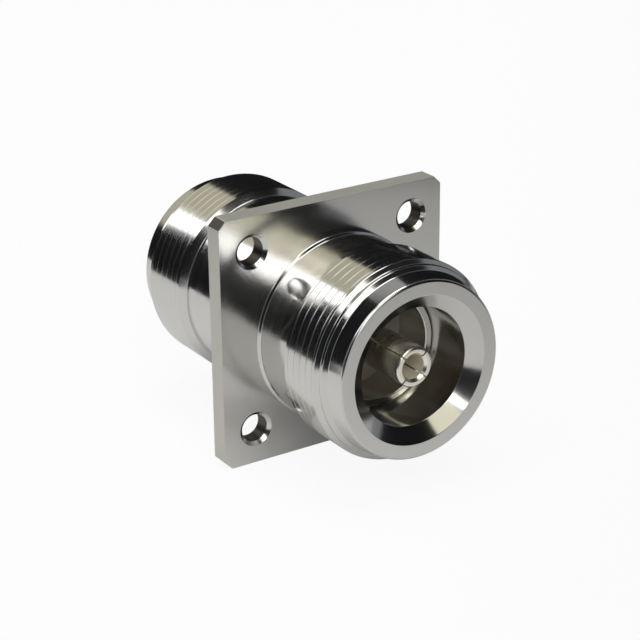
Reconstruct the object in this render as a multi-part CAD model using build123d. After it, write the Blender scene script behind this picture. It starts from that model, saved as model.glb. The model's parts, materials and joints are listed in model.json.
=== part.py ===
"""Panel-mount coaxial adapter: a threaded socket at each end of a square flange."""
from build123d import *
from dataclasses import dataclass
from itertools import product
import os

# All sizes are in millimetres. The adapter's axis is Y. Its short, front end points to -Y, +Z is up,
# and the origin is the centre of the flange's rear face, which is the face that meets the panel.

# Flange
flange_side = 25.4
flange_thickness = 2.0
flange_corner = 0.85
hole_pitch = 18.26
hole_radius = 1.4
countersink = 0.3

# Outside of the barrels, each length measured from the flange's face to the rim
front_length = 14.5
rear_length = 20.2
thread_radius = 9.9
front_thread_length = 4.8
rear_thread_length = 5.8
relief_radius = 9.25
hub_radius = 9.5
hub_height = 1.2

# Nose of each barrel, from the end of the thread to the rim
nose_length = 3.0
thread_chamfer = 0.4
pilot_length = 0.35
step_chamfer = 0.4
nose_taper = 0.3
rim_chamfer = 0.25

# Inside of each end, each depth measured from the rim
mouth_radius = 7.35
lead_in_depth = 1.1
bore_radius = 5.85
sleeve_depth = 6.2
bead_depth = 10.5
bead_thickness = 3.0
line_radius = 5.0
sleeve_chamfer = 0.2

# Centre contact
contact_recess = 0.95
contact_radius = 2.0
contact_chamfer = 0.25
socket_radius = 1.2
socket_depth = 7.5
socket_chamfer = 0.25
slot_width = 0.15
slot_length = 6.0
slot_angles = (45, 135)
neck_radius = 1.4
stud_radius = 1.0
stud_length = 3.0
rod_radius = 2.15
tapped_depth = 3.6

# Fits: gap on the radius between pieces that are pushed or screwed together
sleeve_fit = 0.01
bead_fit = 0.02
neck_fit = 0.02
stud_fit = 0.02


@dataclass
class End:
    """One end of the adapter: its rim, the way into it, and what its barrel measures."""
    rim: float
    inward: int
    length: float
    thread_length: float

    def at(self, depth):
        """Place on the Y axis at a depth below the rim."""
        return self.rim + self.inward * depth


front = End(-flange_thickness - front_length, 1, front_length, front_thread_length)
rear = End(rear_length, -1, rear_length, rear_thread_length)


def section(points):
    """Closed face through (radius, place on Y) points."""
    return make_face(Polyline(*points, close=True))


def turned(face):
    """Solid that a section makes when it is turned about the adapter's axis."""
    return revolve(face, Axis.Y, 360)


def barrel(end):
    """Outside of one barrel, solid, from its rim through the flange to the flange's rear face."""
    pilot_radius = thread_radius - thread_chamfer
    nose_radius = pilot_radius - step_chamfer
    rim_radius = nose_radius - nose_taper
    pilot_start = nose_length - thread_chamfer
    pilot_end = pilot_start - pilot_length
    thread_back = nose_length + end.thread_length
    hub_end = end.length - hub_height
    return turned(section([
        (0, end.at(0)),
        (rim_radius - rim_chamfer, end.at(0)),
        (rim_radius, end.at(rim_chamfer)),
        (nose_radius, end.at(pilot_end - step_chamfer)),
        (pilot_radius, end.at(pilot_end)),
        (pilot_radius, end.at(pilot_start)),
        (thread_radius, end.at(nose_length)),
        (thread_radius, end.at(thread_back)),
        (relief_radius, end.at(thread_back + thread_radius - relief_radius)),
        (relief_radius, end.at(hub_end - hub_radius + relief_radius)),
        (hub_radius, end.at(hub_end)),
        (hub_radius, 0),
        (0, 0),
    ]))


def mouth(end):
    """Space that is bored out of one end, from the rim to the shoulder that the bead rests on."""
    shoulder = bead_depth + bead_thickness
    return turned(section([
        (0, end.at(0)),
        (mouth_radius, end.at(0)),
        (bore_radius, end.at(lead_in_depth)),
        (bore_radius, end.at(shoulder)),
        (0, end.at(shoulder)),
    ]))


def line_bore():
    """Bore through the web between the two shoulders."""
    shoulder = bead_depth + bead_thickness
    return turned(section([
        (0, front.at(shoulder)),
        (line_radius, front.at(shoulder)),
        (line_radius, rear.at(shoulder)),
        (0, rear.at(shoulder)),
    ]))


def flange():
    """Square plate with cut corners and four countersunk holes."""
    plate = Box(flange_side, flange_thickness, flange_side, align=(Align.CENTER, Align.MAX, Align.CENTER))
    plate = chamfer(plate.edges().filter_by(Axis.Y), flange_corner)
    rim_radius = hole_radius + countersink
    hole = turned(section([
        (0, -flange_thickness),
        (rim_radius, -flange_thickness),
        (hole_radius, countersink - flange_thickness),
        (hole_radius, 0),
        (0, 0),
    ]))
    for x, z in product((-hole_pitch / 2, hole_pitch / 2), repeat=2):
        plate -= Pos(x, 0, z) * hole
    return plate


def flanged_body():
    """Flange and both barrels, made as one piece and bored from both ends."""
    return flange() + barrel(front) + barrel(rear) - mouth(front) - mouth(rear) - line_bore()


def outer_sleeve(end):
    """Sleeve pressed into the bore. It narrows the bore and holds the bead on its shoulder."""
    outer = bore_radius - sleeve_fit
    return turned(section([
        (line_radius + sleeve_chamfer, end.at(sleeve_depth)),
        (outer - sleeve_chamfer, end.at(sleeve_depth)),
        (outer, end.at(sleeve_depth + sleeve_chamfer)),
        (outer, end.at(bead_depth)),
        (line_radius, end.at(bead_depth)),
        (line_radius, end.at(sleeve_depth + sleeve_chamfer)),
    ]))


def insulator(end):
    """Bead that holds the contact's neck in the middle of the bore."""
    return turned(section([
        (neck_radius + neck_fit, end.at(bead_depth)),
        (bore_radius - bead_fit, end.at(bead_depth)),
        (bore_radius - bead_fit, end.at(bead_depth + bead_thickness)),
        (neck_radius + neck_fit, end.at(bead_depth + bead_thickness)),
    ]))


def contact(end):
    """Slotted centre socket with a neck for the bead and a stud for the rod behind it."""
    tip = contact_recess
    stud_start = bead_depth + bead_thickness
    piece = turned(section([
        (0, end.at(tip + socket_depth)),
        (socket_radius, end.at(tip + socket_depth)),
        (socket_radius, end.at(tip + socket_chamfer)),
        (socket_radius + socket_chamfer, end.at(tip)),
        (contact_radius - contact_chamfer, end.at(tip)),
        (contact_radius, end.at(tip + contact_chamfer)),
        (contact_radius, end.at(bead_depth)),
        (neck_radius, end.at(bead_depth)),
        (neck_radius, end.at(stud_start)),
        (stud_radius, end.at(stud_start)),
        (stud_radius, end.at(stud_start + stud_length)),
        (0, end.at(stud_start + stud_length)),
    ]))
    saw_height = 2 * (contact_radius + slot_width)
    saw = Box(slot_width, slot_length, saw_height)
    slot_centre = end.at(tip + slot_length / 2)
    for angle in slot_angles:
        piece -= Pos(0, slot_centre, 0) * Rot(0, angle, 0) * saw
    return piece


def centre_conductor():
    """Rod between the two beads, tapped at both ends for the contacts' studs."""
    shoulder = bead_depth + bead_thickness
    hole = stud_radius + stud_fit
    return turned(section([
        (hole, front.at(shoulder)),
        (rod_radius, front.at(shoulder)),
        (rod_radius, rear.at(shoulder)),
        (hole, rear.at(shoulder)),
        (hole, rear.at(shoulder + tapped_depth)),
        (0, rear.at(shoulder + tapped_depth)),
        (0, front.at(shoulder + tapped_depth)),
        (hole, front.at(shoulder + tapped_depth)),
    ]))


pieces = {
    "flanged_body": flanged_body(),
    "centre_conductor": centre_conductor(),
}
for name, end in (("front", front), ("rear", rear)):
    pieces[f"{name}_outer_sleeve"] = outer_sleeve(end)
    pieces[f"{name}_insulator"] = insulator(end)
    pieces[f"{name}_contact"] = contact(end)

os.makedirs("parts", exist_ok=True)
for name, piece in pieces.items():
    piece.label = name
    export_step(piece, f"parts/{name}.step")
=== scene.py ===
"""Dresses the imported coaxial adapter: threads, edges, contacts, plated finishes, stage and camera."""

import json
import math

import bmesh
import bpy
from bpy.props import FloatProperty, FloatVectorProperty, IntProperty, PointerProperty
from bpy.types import Operator, Panel, PropertyGroup
from mathutils import Matrix, Vector

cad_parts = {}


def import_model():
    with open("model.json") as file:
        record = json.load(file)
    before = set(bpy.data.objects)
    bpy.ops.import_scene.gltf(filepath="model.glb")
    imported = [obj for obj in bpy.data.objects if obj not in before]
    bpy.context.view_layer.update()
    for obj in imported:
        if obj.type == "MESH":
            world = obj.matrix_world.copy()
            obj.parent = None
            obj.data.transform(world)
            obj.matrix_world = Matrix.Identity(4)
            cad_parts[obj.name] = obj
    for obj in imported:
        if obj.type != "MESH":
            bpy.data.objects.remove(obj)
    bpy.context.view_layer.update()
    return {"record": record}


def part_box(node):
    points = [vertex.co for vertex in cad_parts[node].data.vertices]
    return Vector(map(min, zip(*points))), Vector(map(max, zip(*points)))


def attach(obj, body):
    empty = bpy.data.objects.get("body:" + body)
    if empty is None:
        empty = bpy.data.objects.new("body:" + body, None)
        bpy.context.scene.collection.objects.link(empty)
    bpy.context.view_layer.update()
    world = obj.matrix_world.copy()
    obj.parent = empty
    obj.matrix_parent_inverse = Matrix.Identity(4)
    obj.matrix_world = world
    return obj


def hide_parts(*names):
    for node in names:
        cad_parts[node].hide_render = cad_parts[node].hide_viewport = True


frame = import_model()

bl_info = {
    "name": "Coaxial adapter",
    "version": (1, 0, 0),
    "blender": (4, 5, 0),
    "location": "3D View > Sidebar > Adapter",
    "description": "Models and finishes a threaded panel adapter around its packed solids",
    "category": "Object",
}

MM = 0.001

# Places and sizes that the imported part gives
MOUNTS = {mount["name"]: mount for mount in frame["record"]["mounts"]}
BODY_LOW, BODY_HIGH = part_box("flanged_body")
HALF_PITCH = MOUNTS["flange_holes"]["dims"]["spacing_x_mm"] * MM / 2
HOLE_RADIUS = MOUNTS["flange_holes"]["dims"]["hole_r_mm"] * MM
THREAD_RADIUS = MOUNTS["front_thread"]["dims"]["r_mm"] * MM
SOCKET_RADIUS = MOUNTS["front_socket"]["dims"]["r_mm"] * MM
SOCKET_LENGTH = MOUNTS["front_socket"]["dims"]["length_mm"] * MM

# Gap on the radius between a bead and its neck, and between the rod and a stud
FIT_GAP = 0.02 * MM

# Material slots of the body: turned surfaces, the plate's faces, its sides, and near-black corner cuts and
# hole walls, painted shade on the hole walls
TURNED, FACES, SIDES, PAINTED_DARK = range(4)


# Sizes and colours that a user would change

def length(name, default, description):
    """Length property, in metres, with its default given in millimetres."""
    return FloatProperty(name=name, description=description, default=default * MM, min=0,
                         unit="LENGTH", precision=5)


def colour(name, default, description):
    """Colour property."""
    return FloatVectorProperty(name=name, description=description, default=default, size=3,
                               subtype="COLOR", min=0, max=1)


def share(name, default, description):
    """Property from 0 to 1."""
    return FloatProperty(name=name, description=description, default=default, min=0, max=1,
                         subtype="FACTOR")


class AdapterSizes(PropertyGroup):
    """Sizes of the adapter's visible pieces."""
    segments: IntProperty(
        name="Segments", description="Straight sides that stand for a full circle", default=192, min=48)
    flange_thickness: length("Flange thickness", 2.0, "Thickness of the square plate")
    flange_corner: length("Flange corner", 0.85, "Cut at each corner of the plate")
    edge_break: length("Edge break", 0.07, "Rounding that tumbling leaves on the plate's edges")
    countersink: length("Countersink", 0.3, "Depth and width of the countersink on each hole")
    relief_radius: length("Relief radius", 9.25, "Radius of the plain neck behind each thread")
    hub_radius: length("Hub radius", 9.5, "Radius of the collar next to the plate")
    hub_height: length("Hub height", 1.2, "Height of the collar above the plate")
    thread_pitch: length("Thread pitch", 1.0, "Distance from one thread crest to the next")
    thread_depth: length("Thread depth", 0.06, "Depth of the thread groove")
    thread_root: length("Thread root", 0.05, "Width of the flat at the bottom of the groove")
    thread_chamfer: length("Thread chamfer", 0.4, "Chamfer at the start of the thread")
    pilot_length: length("Pilot length", 0.35, "Plain land in front of the thread")
    step_chamfer: length("Step chamfer", 0.4, "Chamfer from the land down to the nose")
    nose_taper: length("Nose taper", 0.3, "How much the nose narrows towards the rim")
    rim_rounding: length("Rim rounding", 0.25, "Rounding of the rim's outer edge")
    mouth_radius: length("Mouth radius", 7.35, "Radius of the lead-in cone at the rim")
    lead_in_depth: length("Lead-in depth", 1.1, "Depth of the lead-in cone")
    bore_radius: length("Bore radius", 5.85, "Radius of the bore behind the lead-in")
    line_radius: length("Line radius", 5.0, "Radius inside the pressed sleeve and the web")
    soft_edge: length("Soft edge", 0.05, "Rounding of the small turned edges")
    contact_rounding: length("Contact rounding", 0.28, "Rounding of the centre contact's tip")
    socket_chamfer: length("Socket chamfer", 0.25, "Chamfer at the mouth of the centre contact")
    slot_width: length("Slot width", 0.15, "Width of the slots in the centre contact")
    slot_length: length("Slot length", 6.0, "Length of the slots in the centre contact")
    neck_radius: length("Neck radius", 1.4, "Radius of the contact's neck inside the bead")
    stud_radius: length("Stud radius", 1.0, "Radius of the contact's stud")
    tapped_depth: length("Tapped depth", 3.6, "Depth of the rod's tapped holes")


class AdapterFinish(PropertyGroup):
    """Colours and gloss of the adapter's finishes."""
    body_colour: colour("Body plating", (0.62, 0.615, 0.60), "Colour of the plated body")
    body_roughness: share("Body roughness", 0.13, "Roughness of the turned surfaces")
    plate_roughness: share("Plate roughness", 0.17, "Roughness of the plate's two faces")
    edge_roughness: share("Edge roughness", 0.42, "Roughness of the plate's four milled sides")
    # Painted shade: the hole walls are painted near-black, and the corner cuts with them
    painted_dark_colour: colour("Painted dark", (0.10, 0.09, 0.08), "Colour of the corner cuts and the hole walls")
    side_colour: colour("Plate sides", (0.58, 0.57, 0.52), "Colour of the plate's four milled sides")
    side_gloss: share("Side gloss", 0.45, "Share of the sides' light that is mirrored, not scattered")
    sleeve_colour: colour("Sleeve plating", (0.58, 0.57, 0.53), "Colour of the pressed sleeves")
    contact_colour: colour("Contact plating", (0.90, 0.87, 0.78), "Colour of the centre contacts")
    contact_roughness: share("Contact roughness", 0.22, "Roughness of the centre contacts")
    socket_colour: colour("Socket inside", (0.92, 0.88, 0.76), "Colour inside the centre contacts")
    socket_roughness: share("Socket roughness", 0.5, "Roughness inside the centre contacts")
    socket_gloss: share("Socket gloss", 0.5, "Share of the light inside them that is mirrored, not scattered")
    bead_colour: colour("Bead colour", (0.30, 0.27, 0.22), "Colour of the insulating beads")


# Small steps that every piece uses

def deselect():
    """Leaves edit mode with nothing selected."""
    if bpy.context.object and bpy.context.object.mode != "OBJECT":
        bpy.ops.object.mode_set(mode="OBJECT")
    bpy.ops.object.select_all(action="DESELECT")


def activate(piece):
    """Makes a piece the only selected and active object."""
    deselect()
    piece.select_set(True)
    bpy.context.view_layer.objects.active = piece


def named(name):
    """The active object, renamed, with its mesh."""
    piece = bpy.context.object
    piece.name = name
    piece.data.name = name
    return piece


def apply_place(piece):
    """Moves a piece's place, turn and scale into its mesh."""
    activate(piece)
    bpy.ops.object.transform_apply(location=True, rotation=True, scale=True)


def resized(piece, factor):
    """Scales a piece's mesh about the origin."""
    piece.scale = (factor, factor, factor)
    apply_place(piece)


def select_edges(piece, wanted):
    """In edit mode, selects the edges that meet a condition, and no others."""
    bpy.ops.mesh.select_all(action="DESELECT")
    bpy.ops.mesh.select_mode(type="EDGE")
    mesh = bmesh.from_edit_mesh(piece.data)
    for edge in mesh.edges:
        edge.select_set(wanted(edge))
    mesh.select_flush_mode()
    bmesh.update_edit_mesh(piece.data)


def radius_of(point):
    """Distance of a point from the adapter's axis."""
    return math.hypot(point.x, point.z)


def lathe(name, profile, segments, closed):
    """Turned shell through (radius, place on Y) points: a circle is extruded and scaled from each to the
    next. A closed shell joins its last ring to its first, and an open one gets its two ends filled."""
    deselect()
    first_radius, first_place = profile[0]
    bpy.ops.mesh.primitive_circle_add(
        vertices=segments, radius=first_radius, location=(0, first_place, 0), rotation=(math.pi / 2, 0, 0))
    piece = named(name)
    apply_place(piece)
    bpy.ops.object.mode_set(mode="EDIT")
    bpy.ops.mesh.select_all(action="SELECT")
    for (radius, place), (next_radius, next_place) in zip(profile, profile[1:]):
        bpy.ops.mesh.extrude_region_move(TRANSFORM_OT_translate={"value": (0, next_place - place, 0)})
        scale = next_radius / radius
        bpy.ops.transform.resize(value=(scale, 1, scale), center_override=(0, next_place, 0))
    bpy.ops.mesh.select_all(action="DESELECT")
    bpy.ops.mesh.select_mode(type="EDGE")
    bpy.ops.mesh.select_non_manifold()
    if closed:
        bpy.ops.mesh.bridge_edge_loops()
    else:
        bpy.ops.mesh.fill_holes(sides=0)
    bpy.ops.mesh.select_all(action="SELECT")
    bpy.ops.mesh.normals_make_consistent(inside=False)
    bpy.ops.object.mode_set(mode="OBJECT")
    return piece


def round_rings(piece, rings, radius, steps):
    """Rounds the turned edges that lie at (radius, place on Y) points."""
    near = 0.004 * MM

    def on_ring(edge):
        ends = [(radius_of(vertex.co), vertex.co.y) for vertex in edge.verts]
        return any(all(math.dist(end, ring) < near for end in ends) for ring in rings)

    activate(piece)
    bpy.ops.object.mode_set(mode="EDIT")
    select_edges(piece, on_ring)
    bpy.ops.mesh.bevel(offset=radius, offset_type="OFFSET", segments=steps, profile=0.5, affect="EDGES",
                       clamp_overlap=True)
    bpy.ops.object.mode_set(mode="OBJECT")


def cut(piece, tool, operation="DIFFERENCE"):
    """Cuts a tool out of a piece, or joins it on, and deletes the tool. Points that the cut leaves almost on
    top of each other are merged, and a face that it leaves out is closed."""
    merge = 0.0005 * MM
    most_sides = 8
    activate(piece)
    bpy.ops.object.modifier_add(type="BOOLEAN")
    step = piece.modifiers[-1]
    step.operation = operation
    step.solver = "EXACT"
    step.object = tool
    bpy.ops.object.modifier_apply(modifier=step.name)
    bpy.data.objects.remove(tool)
    bpy.ops.object.mode_set(mode="EDIT")
    bpy.ops.mesh.select_all(action="SELECT")
    bpy.ops.mesh.remove_doubles(threshold=merge)
    bpy.ops.mesh.dissolve_degenerate(threshold=merge)
    select_edges(piece, lambda edge: not edge.is_manifold)
    bpy.ops.mesh.fill_holes(sides=most_sides)
    bpy.ops.object.mode_set(mode="OBJECT")


def finish_shading(piece):
    """Smooth faces with crisp edges, and normals that follow the larger faces. The modifier ignores faces
    under a square millimetre, so the mesh is a thousand times larger meanwhile."""
    crease = math.radians(32)
    activate(piece)
    bpy.ops.object.shade_smooth_by_angle(angle=crease)
    resized(piece, 1 / MM)
    bpy.ops.object.modifier_add(type="WEIGHTED_NORMAL")
    step = piece.modifiers[-1]
    step.mode = "FACE_AREA"
    step.keep_sharp = True
    bpy.ops.object.modifier_apply(modifier=step.name)
    resized(piece, MM)


def hand_over(piece, slot, *nodes):
    """Makes a finished piece ride on the root and hides the imported nodes that it stands for."""
    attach(piece, "root")
    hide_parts(*nodes)


# The two ends of the adapter

class End:
    """One end: its rim, the way into it, its flange face and where its thread lies."""

    def __init__(self, name, rim, inward, face):
        self.name = name
        self.rim = rim
        self.inward = inward
        self.face = face
        mount = MOUNTS[f"{name}_thread"]
        half = mount["dims"]["length_mm"] * MM / 2
        self.thread_start = mount["pos_m"][1] - inward * half
        self.thread_back = mount["pos_m"][1] + inward * half

    def at(self, depth):
        """Place on Y at a depth below the rim."""
        return self.rim + self.inward * depth

    def span(self, piece):
        """Radius, outer place and inner place on Y of this end's node."""
        low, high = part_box(f"{self.name}_{piece}")
        if self.inward > 0:
            return high.x, low.y, high.y
        return high.x, high.y, low.y


def both_ends(sizes):
    """The front and the rear end."""
    front = End("front", BODY_LOW.y, 1, -sizes.flange_thickness)
    rear = End("rear", BODY_HIGH.y, -1, 0)
    return front, rear


# Body

def outside(end, sizes):
    """Outline of one barrel from its rim to the plate."""
    pilot = THREAD_RADIUS - sizes.thread_chamfer
    nose = pilot - sizes.step_chamfer
    step = end.inward
    pilot_start = end.thread_start - step * sizes.thread_chamfer
    pilot_end = pilot_start - step * sizes.pilot_length
    hub_end = end.face - step * sizes.hub_height
    return [
        (nose - sizes.nose_taper, end.rim),
        (nose, pilot_end - step * sizes.step_chamfer),
        (pilot, pilot_end),
        (pilot, pilot_start),
        (THREAD_RADIUS, end.thread_start),
        (THREAD_RADIUS, end.thread_back),
        (sizes.relief_radius, end.thread_back + step * (THREAD_RADIUS - sizes.relief_radius)),
        (sizes.relief_radius, hub_end - step * (sizes.hub_radius - sizes.relief_radius)),
        (sizes.hub_radius, hub_end),
        (sizes.hub_radius, end.face),
    ]


def inside(end, sizes):
    """Outline of one mouth from the shoulder behind the bead out to the rim."""
    shoulder = end.span("insulator")[2]
    return [
        (sizes.line_radius, shoulder),
        (sizes.bore_radius, shoulder),
        (sizes.bore_radius, end.at(sizes.lead_in_depth)),
        (sizes.mouth_radius, end.rim),
    ]


def thread_tool(end, sizes):
    """Helical cutter for one thread: the groove's section, wound about the axis by a Screw modifier.
    It is turned by half a segment, so that its edges don't run along the barrel's edges."""
    flank = math.radians(30)
    proud = 0.05 * MM
    root = THREAD_RADIUS - sizes.thread_depth
    height = sizes.thread_depth + proud
    middle = root + height / 2
    crest_width = sizes.thread_root + 2 * height * math.tan(flank)
    lead = sizes.thread_chamfer / 2
    air = THREAD_RADIUS - sizes.relief_radius + crest_width / 2
    turns = math.ceil((abs(end.thread_back - end.thread_start) + lead + air) / sizes.thread_pitch)
    start = end.thread_start - end.inward * lead
    if end.inward < 0:
        start -= turns * sizes.thread_pitch
    deselect()
    bpy.ops.mesh.primitive_plane_add(size=1, location=(middle, start, 0))
    tool = named(f"{end.name}_thread_tool")
    apply_place(tool)
    bpy.ops.object.mode_set(mode="EDIT")
    bpy.ops.mesh.select_all(action="SELECT")
    bpy.ops.transform.resize(value=(height, sizes.thread_root, 1), center_override=(middle, start, 0))
    select_edges(tool, lambda edge: all(vertex.co.x > middle for vertex in edge.verts))
    bpy.ops.transform.resize(
        value=(1, crest_width / sizes.thread_root, 1), center_override=(THREAD_RADIUS, start, 0))
    bpy.ops.mesh.select_mode(type="FACE")
    bpy.ops.mesh.select_all(action="SELECT")
    bpy.ops.mesh.delete(type="ONLY_FACE")
    bpy.ops.object.mode_set(mode="OBJECT")
    bpy.ops.object.modifier_add(type="SCREW")
    winding = tool.modifiers[-1]
    winding.axis = "Y"
    winding.angle = 2 * math.pi
    winding.screw_offset = sizes.thread_pitch
    winding.iterations = turns
    winding.steps = winding.render_steps = sizes.segments
    bpy.ops.object.modifier_apply(modifier=winding.name)
    bpy.ops.object.mode_set(mode="EDIT")
    bpy.ops.mesh.select_mode(type="VERT")
    bpy.ops.mesh.select_all(action="SELECT")
    bpy.ops.mesh.fill_holes(sides=4)
    bpy.ops.mesh.select_all(action="SELECT")
    bpy.ops.mesh.normals_make_consistent(inside=False)
    bpy.ops.object.mode_set(mode="OBJECT")
    tool.rotation_euler = (0, math.pi / sizes.segments, 0)
    apply_place(tool)
    return tool


def plate(sizes):
    """Square plate with cut corners and broken edges, and the hole that the barrels fill."""
    side = BODY_HIGH.x - BODY_LOW.x
    thickness = sizes.flange_thickness

    def through(edge):
        return abs(edge.verts[0].co.y - edge.verts[1].co.y) > thickness / 2

    deselect()
    bpy.ops.mesh.primitive_cube_add(
        size=1, location=(0, -thickness / 2, 0), scale=(side, thickness, side))
    piece = named("plate")
    apply_place(piece)
    bpy.ops.object.mode_set(mode="EDIT")
    select_edges(piece, through)
    bpy.ops.mesh.bevel(offset=sizes.flange_corner, offset_type="OFFSET", segments=1, affect="EDGES")
    bpy.ops.mesh.select_all(action="SELECT")
    bpy.ops.mesh.bevel(offset=sizes.edge_break, offset_type="OFFSET", segments=2, affect="EDGES")
    bpy.ops.object.mode_set(mode="OBJECT")
    middle = (sizes.line_radius + sizes.hub_radius) / 2
    bore = [(middle, -2 * thickness), (middle, thickness)]
    cut(piece, lathe("plate_bore", bore, sizes.segments, closed=False))
    return piece


def hole_tool(x, z, sizes):
    """Cutter for one countersunk hole, with the edge of the countersink broken."""
    front = -sizes.flange_thickness
    past = 0.5 * MM
    wide = HOLE_RADIUS + sizes.countersink
    profile = [
        (wide + sizes.edge_break + past, front - past),
        (wide + sizes.edge_break, front),
        (wide, front + sizes.edge_break),
        (HOLE_RADIUS, front + sizes.countersink),
        (HOLE_RADIUS, -sizes.edge_break),
        (HOLE_RADIUS + sizes.edge_break, 0),
        (HOLE_RADIUS + sizes.edge_break + past, past),
    ]
    tool = lathe("hole_tool", profile, sizes.segments // 3, closed=False)
    tool.location = (x, 0, z)
    return tool


def assign_plate_finish(piece, sizes):
    """Gives the plate's faces and sides their own finish, and paints its corner cuts and hole walls
    near-black, painted shade on the hole walls.
    """
    near = 0.01 * MM
    side = BODY_HIGH.x - sizes.edge_break - near
    square_on = 0.95
    upright = 0.01
    for face in piece.data.polygons:
        centre = face.center
        across, up = abs(centre.x), abs(centre.z)
        facing_y = abs(face.normal.y)
        corner = max(radius_of(piece.data.vertices[i].co) for i in face.vertices)
        if not -sizes.flange_thickness - near < centre.y < near or corner < sizes.hub_radius + near:
            face.material_index = TURNED
        elif max(across, up) > side and facing_y < square_on:
            face.material_index = SIDES
        # Corner cuts and hole walls take the near-black paint, painted shade on the hole walls
        elif across + up > 2 * side - sizes.flange_corner and facing_y < upright:
            face.material_index = PAINTED_DARK
        elif math.hypot(across - HALF_PITCH, up - HALF_PITCH) < HOLE_RADIUS + near:
            face.material_index = PAINTED_DARK
        else:
            face.material_index = FACES


class ADAPTER_OT_body(Operator):
    """Turn the two barrels, cut their threads, and join them to the countersunk plate"""
    bl_idname = "adapter.body"
    bl_label = "Flanged body"

    def execute(self, context):
        sizes = context.scene.adapter_sizes
        finish = context.scene.adapter_finish
        front, rear = both_ends(sizes)
        rear_outside = outside(rear, sizes)[::-1]
        profile = outside(front, sizes) + rear_outside + inside(rear, sizes)[::-1] + inside(front, sizes)
        body = lathe("body", profile, sizes.segments, closed=True)
        for end in (front, rear):
            outline = outside(end, sizes)
            round_rings(body, [outline[0]], sizes.rim_rounding, steps=4)
            round_rings(body, outline[1:5] + outline[6:9], sizes.soft_edge, steps=2)
            round_rings(body, inside(end, sizes)[2:], sizes.soft_edge, steps=2)
            cut(body, thread_tool(end, sizes))
        cut(body, plate(sizes), "UNION")
        for x in (-HALF_PITCH, HALF_PITCH):
            for z in (-HALF_PITCH, HALF_PITCH):
                cut(body, hole_tool(x, z, sizes))
        finish_shading(body)
        body.data.materials.clear()
        for plating in (
                turned_plating("body_plating", finish.body_colour, finish.body_roughness),
                milled_plating("plate_plating", finish.body_colour, finish.plate_roughness),
                milled_plating("side_plating", finish.side_colour, finish.edge_roughness, finish.side_gloss),
                milled_plating("painted_dark_metal", finish.painted_dark_colour, finish.edge_roughness)):
            body.data.materials.append(plating)
        assign_plate_finish(body, sizes)
        hand_over(body, "plated_body", "flanged_body")
        return {"FINISHED"}


# Pieces inside the bore

class ADAPTER_OT_contacts(Operator):
    """Turn the two centre contacts and saw their slots"""
    bl_idname = "adapter.contacts"
    bl_label = "Centre contacts"

    def execute(self, context):
        sizes = context.scene.adapter_sizes
        finish = context.scene.adapter_finish
        plating = turned_plating("contact_plating", finish.contact_colour, finish.contact_roughness)
        lining = milled_plating(
            "socket_plating", finish.socket_colour, finish.socket_roughness, finish.socket_gloss)
        for end in both_ends(sizes):
            contact = self.contact(end, sizes)
            contact.data.materials.append(plating)
            contact.data.materials.append(lining)
            for face in contact.data.polygons:
                face.material_index = int(radius_of(face.center) < SOCKET_RADIUS)
            hand_over(contact, "contact_metal", f"{end.name}_contact")
        return {"FINISHED"}

    def contact(self, end, sizes):
        """One slotted socket with its neck and stud."""
        slot_angles = (45, 135)
        radius, tip, stud_end = end.span("contact")
        bead_front, bead_back = end.span("insulator")[1:]
        profile = [
            (SOCKET_RADIUS, tip + end.inward * (SOCKET_LENGTH + sizes.socket_chamfer)),
            (SOCKET_RADIUS, tip + end.inward * sizes.socket_chamfer),
            (SOCKET_RADIUS + sizes.socket_chamfer, tip),
            (radius, tip),
            (radius, bead_front),
            (sizes.neck_radius, bead_front),
            (sizes.neck_radius, bead_back),
            (sizes.stud_radius, bead_back),
            (sizes.stud_radius, stud_end),
        ]
        piece = lathe(f"{end.name}_centre_socket", profile, sizes.segments // 2, closed=False)
        round_rings(piece, [profile[3]], sizes.contact_rounding, steps=5)
        round_rings(piece, [profile[2]], sizes.soft_edge, steps=3)
        for angle in slot_angles:
            deselect()
            bpy.ops.mesh.primitive_cube_add(
                size=1, location=(0, tip + end.inward * sizes.slot_length / 2, 0),
                scale=(sizes.slot_width, sizes.slot_length, 3 * radius), rotation=(0, math.radians(angle), 0))
            cut(piece, named("slot_tool"))
        finish_shading(piece)
        return piece


class ADAPTER_OT_sleeves(Operator):
    """Turn the two sleeves that are pressed into the bore"""
    bl_idname = "adapter.sleeves"
    bl_label = "Outer sleeves"

    def execute(self, context):
        sizes = context.scene.adapter_sizes
        finish = context.scene.adapter_finish
        plating = turned_plating("sleeve_plating", finish.sleeve_colour, finish.body_roughness)
        mouth_rounding = 4 * sizes.soft_edge
        for end in both_ends(sizes):
            radius, mouth, foot = end.span("outer_sleeve")
            profile = [(sizes.line_radius, mouth), (radius, mouth), (radius, foot), (sizes.line_radius, foot)]
            sleeve = lathe(f"{end.name}_pressed_sleeve", profile, sizes.segments, closed=True)
            round_rings(sleeve, profile[:2], mouth_rounding, steps=4)
            finish_shading(sleeve)
            sleeve.data.materials.append(plating)
            hand_over(sleeve, "plated_sleeve", f"{end.name}_outer_sleeve")
        return {"FINISHED"}


class ADAPTER_OT_beads(Operator):
    """Turn the two insulating beads that centre the contacts"""
    bl_idname = "adapter.beads"
    bl_label = "Insulating beads"

    def execute(self, context):
        sizes = context.scene.adapter_sizes
        plastic = bead_plastic(context.scene.adapter_finish.bead_colour)
        hole = sizes.neck_radius + FIT_GAP
        for end in both_ends(sizes):
            radius, mouth, foot = end.span("insulator")
            profile = [(hole, mouth), (radius, mouth), (radius, foot), (hole, foot)]
            bead = lathe(f"{end.name}_bead", profile, sizes.segments // 2, closed=True)
            round_rings(bead, profile, sizes.soft_edge, steps=2)
            finish_shading(bead)
            bead.data.materials.append(plastic)
            hand_over(bead, "insulator", f"{end.name}_insulator")
        return {"FINISHED"}


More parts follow.
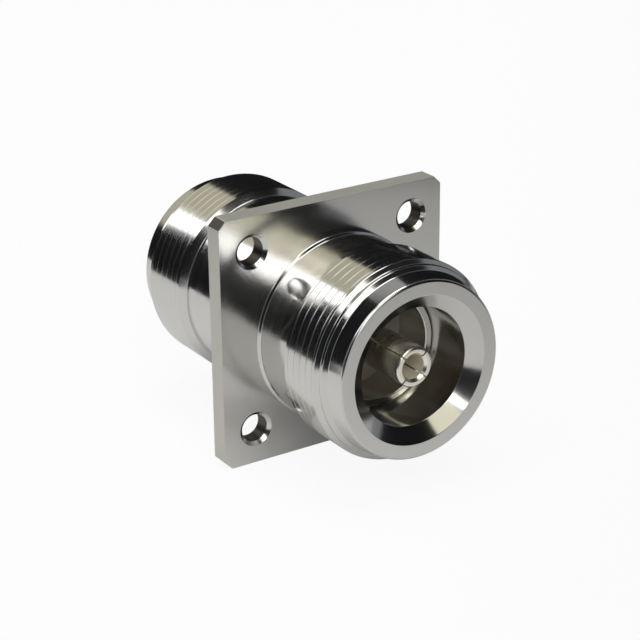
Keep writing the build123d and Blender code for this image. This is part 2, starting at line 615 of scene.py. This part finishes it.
class ADAPTER_OT_rod(Operator):
    """Turn the rod that joins the two contacts, tapped at both ends"""
    bl_idname = "adapter.rod"
    bl_label = "Centre conductor"

    def execute(self, context):
        sizes = context.scene.adapter_sizes
        finish = context.scene.adapter_finish
        low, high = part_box("centre_conductor")
        hole = sizes.stud_radius + FIT_GAP
        deep_front = low.y + sizes.tapped_depth
        deep_rear = high.y - sizes.tapped_depth
        outer = [(hole, low.y), (high.x, low.y), (high.x, high.y), (hole, high.y)]
        profile = [(hole, deep_front), *outer, (hole, deep_rear)]
        rod = lathe("joining_rod", profile, sizes.segments // 2, closed=False)
        round_rings(rod, outer, sizes.soft_edge, steps=2)
        finish_shading(rod)
        rod.data.materials.append(
            turned_plating("rod_plating", finish.contact_colour, finish.contact_roughness))
        hand_over(rod, "contact_metal", "centre_conductor")
        return {"FINISHED"}


# Materials

def adder(tree):
    """Function that adds a node to a node tree and sets its values."""
    def add(kind, **values):
        node = tree.nodes.new(kind)
        for key, value in values.items():
            setattr(node, key, value)
        return node

    return add


def new_material(name):
    """Node material, its link function, its Principled shader, and a function that adds nodes."""
    material = bpy.data.materials.new(name)
    material.use_nodes = True
    tree = material.node_tree
    return material, tree.links.new, tree.nodes["Principled BSDF"], adder(tree)


def maths(add, link, operation, first, second):
    """Math node between a socket and a socket or number."""
    node = add("ShaderNodeMath", operation=operation)
    link(first, node.inputs[0])
    if isinstance(second, (int, float)):
        node.inputs[1].default_value = second
    else:
        link(second, node.inputs[1])
    return node.outputs[0]


def noise(add, link, dimensions, source, scale, detail):
    """Noise texture on a vector, or on one number where it has one dimension."""
    node = add("ShaderNodeTexNoise", noise_dimensions=dimensions)
    node.inputs["Scale"].default_value = scale
    node.inputs["Detail"].default_value = detail
    link(source, node.inputs["W" if dimensions == "1D" else "Vector"])
    return node.outputs["Fac"]


def ranged(add, link, value, low, high):
    """Noise, which mostly lies between 0.3 and 0.7, spread from low to high."""
    node = add("ShaderNodeMapRange")
    node.inputs["From Min"].default_value = 0.3
    node.inputs["From Max"].default_value = 0.7
    node.inputs["To Min"].default_value = low
    node.inputs["To Max"].default_value = high
    link(value, node.inputs["Value"])
    return node.outputs["Result"]


def tinted(add, link, value, colour, spread):
    """Colour that runs from a little darker to a little lighter as a value goes from 0 to 1."""
    node = add("ShaderNodeMix", data_type="RGBA")
    node.inputs["A"].default_value = (*(part * (1 - spread) for part in colour), 1)
    node.inputs["B"].default_value = (*(min(1, part * (1 + spread)) for part in colour), 1)
    link(value, node.inputs["Factor"])
    return node.outputs["Result"]


def bumped(add, link, shader, height, strength):
    """Gives a shader the fine relief of a height."""
    bump = add("ShaderNodeBump")
    bump.inputs["Strength"].default_value = strength
    bump.inputs["Distance"].default_value = 0.002 * MM
    link(height, bump.inputs["Height"])
    link(bump.outputs["Normal"], shader.inputs["Normal"])


def turned_plating(name, colour, roughness):
    """Bright plating over turned metal: fine tool marks run round the axis, on barrels, cones and faces."""
    slope = 0.7
    material, link, shader, add = new_material(name)
    place = add("ShaderNodeTexCoord").outputs["Object"]
    parts = add("ShaderNodeSeparateXYZ")
    link(place, parts.inputs[0])
    flat = add("ShaderNodeCombineXYZ")
    link(parts.outputs["X"], flat.inputs["X"])
    link(parts.outputs["Z"], flat.inputs["Z"])
    radius = add("ShaderNodeVectorMath", operation="LENGTH")
    link(flat.outputs[0], radius.inputs[0])
    outward = maths(add, link, "MULTIPLY", radius.outputs["Value"], slope)
    path = maths(add, link, "ADD", parts.outputs["Y"], outward)
    fine = noise(add, link, "1D", path, scale=4200, detail=3)
    coarse = noise(add, link, "1D", path, scale=900, detail=2)
    cloud = noise(add, link, "3D", place, scale=260, detail=4)
    bumped(add, link, shader, maths(add, link, "ADD", fine, coarse), strength=0.15)
    rough = maths(add, link, "MULTIPLY", ranged(add, link, cloud, 0.85, 1.2), roughness)
    streaked = maths(add, link, "MULTIPLY", rough, ranged(add, link, coarse, 0.85, 1.25))
    link(streaked, shader.inputs["Roughness"])
    link(tinted(add, link, cloud, colour, spread=0.05), shader.inputs["Base Color"])
    shader.inputs["Metallic"].default_value = 1
    return material


def milled_plating(name, colour, roughness, gloss=1.0):
    """Satin plating over milled and tumbled metal. A lower gloss scatters more of the light."""
    material, link, shader, add = new_material(name)
    place = add("ShaderNodeTexCoord").outputs["Object"]
    grain = noise(add, link, "3D", place, scale=5200, detail=3)
    cloud = noise(add, link, "3D", place, scale=330, detail=3)
    bumped(add, link, shader, grain, strength=0.1)
    rough = maths(add, link, "MULTIPLY", ranged(add, link, cloud, 0.95, 1.06), roughness)
    link(rough, shader.inputs["Roughness"])
    link(tinted(add, link, cloud, colour, spread=0.02), shader.inputs["Base Color"])
    shader.inputs["Metallic"].default_value = gloss
    return material


def bead_plastic(colour):
    """Smooth grey-brown insulating plastic with a faint cloud in it."""
    material, link, shader, add = new_material("bead_plastic")
    place = add("ShaderNodeTexCoord").outputs["Object"]
    cloud = noise(add, link, "3D", place, scale=700, detail=4)
    link(tinted(add, link, cloud, colour, spread=0.18), shader.inputs["Base Color"])
    link(ranged(add, link, cloud, 0.28, 0.42), shader.inputs["Roughness"])
    shader.inputs["IOR"].default_value = 1.5
    return material


# Stage

WHITE = (1, 1, 1)
WARM = (1.0, 0.98, 0.88)
CREAM = (1.0, 0.96, 0.75)
DARK_CARD = 0.012
GREY_CARD = 0.28

# Each card: name, lower and upper edge, radius, brightness, and the azimuths that it reaches between
CARDS = (
    ("back_flag", BODY_LOW.z, 4.5, 1.2, DARK_CARD, [(100, 250)]),
    ("front_flag", BODY_LOW.z, 4.5, 1.2, DARK_CARD, [(-70, -20), (15, 75)]),
    ("middle_flag", 0.39, 4.5, 1.2, DARK_CARD, [(-20, 15)]),
    ("side_flag", BODY_LOW.z, 4.5, 1.2, GREY_CARD, [(250, 290), (75, 100)]),
    ("low_flag", BODY_LOW.z, 0.015, 0.09, DARK_CARD, [(100, 250), (-70, -14), (15, 60)]),
)

# Each lamp: name, azimuth, elevation, distance, width, height, brightness and colour
LAMPS = (
    ("back_cream", 181, 27, 0.9, 0.44, 0.60, 0.45, CREAM),
    ("back_white", 202, 26, 0.9, 0.13, 0.38, 2.4, WHITE),
    ("back_upper", 172, 54, 0.9, 0.50, 0.20, 0.33, WHITE),
    ("front_white", -22.5, 31, 0.9, 0.2, 0.36, 3.0, WHITE),
    ("front_upper", -17, 50, 0.9, 0.52, 0.26, 1.8, WARM),
    ("front_edge", -36, 38, 0.9, 0.14, 0.12, 1.8, WHITE),
    ("front_cream", 1, 36, 0.9, 0.42, 0.34, 0.85, CREAM),
    ("overhead", 0, 90, 1.0, 0.6, 0.6, 2.7, WHITE),
    ("left_box", -88, 50, 0.9, 0.4, 0.5, 1.6, WHITE),
)


def direction(azimuth, elevation):
    """Unit vector from the origin towards an azimuth and elevation in degrees; azimuth 0 is the front."""
    turn, lift = math.radians(azimuth), math.radians(elevation)
    return Vector((math.sin(turn) * math.cos(lift), -math.cos(turn) * math.cos(lift), math.sin(lift)))


def lamp(name, azimuth, elevation, distance, width, height, brightness, colour):
    """Rectangular area lamp of a given brightness that looks at the origin."""
    watts_per_area = 4
    data = bpy.data.lights.new(name, "AREA")
    data.shape = "RECTANGLE"
    data.size = width
    data.size_y = height
    data.energy = brightness * watts_per_area * width * height
    data.color = colour
    item = bpy.data.objects.new(name, data)
    bpy.context.scene.collection.objects.link(item)
    place = direction(azimuth, elevation) * distance
    turn = (-place).to_track_quat("-Z", "Y").to_matrix().to_4x4()
    item.matrix_world = Matrix.Translation(place) @ turn


def card(name, height_from, height_to, radius, brightness, sectors):
    """Curved cards round the object that only its reflections see, as black or grey flags in a studio.
    Each sector is a pair of azimuths in degrees."""
    steps = 72
    deselect()
    bpy.ops.mesh.primitive_cylinder_add(
        vertices=steps, radius=radius, depth=height_to - height_from, end_fill_type="NOTHING",
        location=(0, 0, (height_from + height_to) / 2))
    item = named(name)
    apply_place(item)
    bpy.ops.object.mode_set(mode="EDIT")
    bpy.ops.mesh.select_mode(type="FACE")
    bpy.ops.mesh.select_all(action="DESELECT")
    mesh = bmesh.from_edit_mesh(item.data)
    for face in mesh.faces:
        centre = face.calc_center_median()
        azimuth = math.degrees(math.atan2(centre.x, -centre.y))
        face.select_set(not any((azimuth - low) % 360 < high - low for low, high in sectors))
    bmesh.update_edit_mesh(item.data)
    bpy.ops.mesh.delete(type="FACE")
    bpy.ops.object.mode_set(mode="OBJECT")
    item.data.materials.append(card_paint(f"{name}_paint", brightness))
    item.visible_camera = item.visible_diffuse = item.visible_shadow = False


def card_paint(name, brightness):
    """Plain paint of a studio card, with a brightness of its own."""
    material, _, shader, _ = new_material(name)
    shader.inputs["Base Color"].default_value = (0, 0, 0, 1)
    shader.inputs["Specular IOR Level"].default_value = 0
    shader.inputs["Emission Color"].default_value = (0.9, 0.95, 1, 1)
    shader.inputs["Emission Strength"].default_value = brightness
    return material


def seen_share(add, link, camera_share, mirror_share):
    """Share that goes to camera rays, and to rays that a metal or a glass reflects or lets through."""
    path = add("ShaderNodeLightPath")
    mirror = maths(add, link, "MAXIMUM", path.outputs["Is Glossy Ray"], path.outputs["Is Transmission Ray"])
    mirrored = maths(add, link, "MULTIPLY", mirror, mirror_share)
    seen = maths(add, link, "MULTIPLY", path.outputs["Is Camera Ray"], camera_share)
    return maths(add, link, "ADD", seen, mirrored)


def floor():
    """White floor under the plate's lower edge. It glows where it is seen, faintly where it is mirrored, and
    keeps its shadow. Its colour darkens towards the front right as painted shade, which the barrel's
    underside mirrors."""
    size = 8
    # Painted shade: the floor's colour runs from pale to deep towards the front right
    shade_from, shade_to = -10 * MM, 70 * MM
    pale, deep = 0.9, 0.55
    deselect()
    bpy.ops.mesh.primitive_plane_add(size=size, location=(0, 0, BODY_LOW.z))
    item = named("floor")
    material, link, shader, add = new_material("floor_paint")
    place = add("ShaderNodeTexCoord").outputs["Object"]
    along = add("ShaderNodeVectorMath", operation="DOT_PRODUCT")
    along.inputs[1].default_value = direction(45, 0)
    link(place, along.inputs[0])
    shade = add("ShaderNodeMapRange", interpolation_type="SMOOTHSTEP")
    shade.inputs["From Min"].default_value = shade_from
    shade.inputs["From Max"].default_value = shade_to
    shade.inputs["To Min"].default_value = pale
    shade.inputs["To Max"].default_value = deep
    link(along.outputs["Value"], shade.inputs["Value"])
    link(shade.outputs["Result"], shader.inputs["Base Color"])
    shader.inputs["Roughness"].default_value = 0.9
    shader.inputs["Specular IOR Level"].default_value = 0.1
    glow = add("ShaderNodeEmission")
    mixed = add("ShaderNodeMixShader")
    link(seen_share(add, link, camera_share=0.92, mirror_share=0.1), mixed.inputs["Fac"])
    link(shader.outputs["BSDF"], mixed.inputs[1])
    link(glow.outputs["Emission"], mixed.inputs[2])
    link(mixed.outputs["Shader"], material.node_tree.nodes["Material Output"].inputs["Surface"])
    item.data.materials.append(material)


def camera():
    """Camera at the photograph's place, worked out from its angle, distance and lens."""
    azimuth, elevation = -32.87, 22.21
    roll = 0.60
    distance = 192.453 * MM
    right_shift, up_shift = 1.3545 * MM, -0.1598 * MM
    pixels, focal_pixels, sensor = 640, 1971.78, 36
    nearest = 10 * MM
    back = direction(azimuth, elevation)
    right = Vector((math.cos(math.radians(azimuth)), math.sin(math.radians(azimuth)), 0))
    up = back.cross(right)
    turn = Matrix.Rotation(math.radians(-roll), 3, back)
    right, up = turn @ right, turn @ up
    target = Vector((0, -bpy.context.scene.adapter_sizes.flange_thickness, 0))
    place = target - right * right_shift - up * up_shift + back * distance
    data = bpy.data.cameras.new("camera")
    data.sensor_width = sensor
    data.lens = focal_pixels / pixels * sensor
    data.clip_start = nearest
    item = bpy.data.objects.new("camera", data)
    bpy.context.scene.collection.objects.link(item)
    item.matrix_world = Matrix.Translation(place) @ Matrix((right, up, back)).transposed().to_4x4()
    bpy.context.scene.camera = item


def world():
    """White room: white where it is seen or mirrored, and a plain level of light on everything."""
    plain_level = 0.15
    scene = bpy.context.scene
    scene.world = bpy.data.worlds.new("room")
    scene.world.use_nodes = True
    tree = scene.world.node_tree
    add, link = adder(tree), tree.links.new
    background = tree.nodes["Background"]
    background.inputs["Color"].default_value = (1, 1, 1, 1)
    level = add("ShaderNodeMapRange")
    level.inputs["To Min"].default_value = plain_level
    link(seen_share(add, link, camera_share=1, mirror_share=1), level.inputs["Value"])
    link(level.outputs["Result"], background.inputs["Strength"])


class ADAPTER_OT_stage(Operator):
    """Lay the floor, hang the lamps and cards and set up the camera"""
    bl_idname = "adapter.stage"
    bl_label = "Stage and camera"

    def execute(self, context):
        context.scene.view_settings.view_transform = "Standard"
        floor()
        world()
        for values in CARDS:
            card(*values)
        for values in LAMPS:
            lamp(*values)
        camera()
        return {"FINISHED"}


# Panel, registration and the order of the steps

STEPS = (ADAPTER_OT_body, ADAPTER_OT_contacts, ADAPTER_OT_sleeves, ADAPTER_OT_beads, ADAPTER_OT_rod,
         ADAPTER_OT_stage)


class ADAPTER_PT_panel(Panel):
    """Sidebar panel with the adapter's sizes, finishes and steps"""
    bl_idname = "ADAPTER_PT_panel"
    bl_label = "Coaxial adapter"
    bl_space_type = "VIEW_3D"
    bl_region_type = "UI"
    bl_category = "Adapter"

    def draw(self, context):
        layout = self.layout
        for group in (context.scene.adapter_sizes, context.scene.adapter_finish):
            for name in group.bl_rna.properties.keys():
                if name not in ("rna_type", "name"):
                    layout.prop(group, name)
        for step in STEPS:
            layout.operator(step.bl_idname)


CLASSES = (AdapterSizes, AdapterFinish, *STEPS, ADAPTER_PT_panel)


def register():
    """Registers the classes and gives the scene its sizes and finishes."""
    for item in CLASSES:
        bpy.utils.register_class(item)
    bpy.types.Scene.adapter_sizes = PointerProperty(type=AdapterSizes)
    bpy.types.Scene.adapter_finish = PointerProperty(type=AdapterFinish)


def unregister():
    """Takes back what register gave."""
    del bpy.types.Scene.adapter_finish
    del bpy.types.Scene.adapter_sizes
    for item in reversed(CLASSES):
        bpy.utils.unregister_class(item)


def main():
    """Builds every piece and the stage."""
    register()
    bpy.ops.adapter.body()
    bpy.ops.adapter.contacts()
    bpy.ops.adapter.sleeves()
    bpy.ops.adapter.beads()
    bpy.ops.adapter.rod()
    bpy.ops.adapter.stage()


if __name__ == "__main__":
    main()
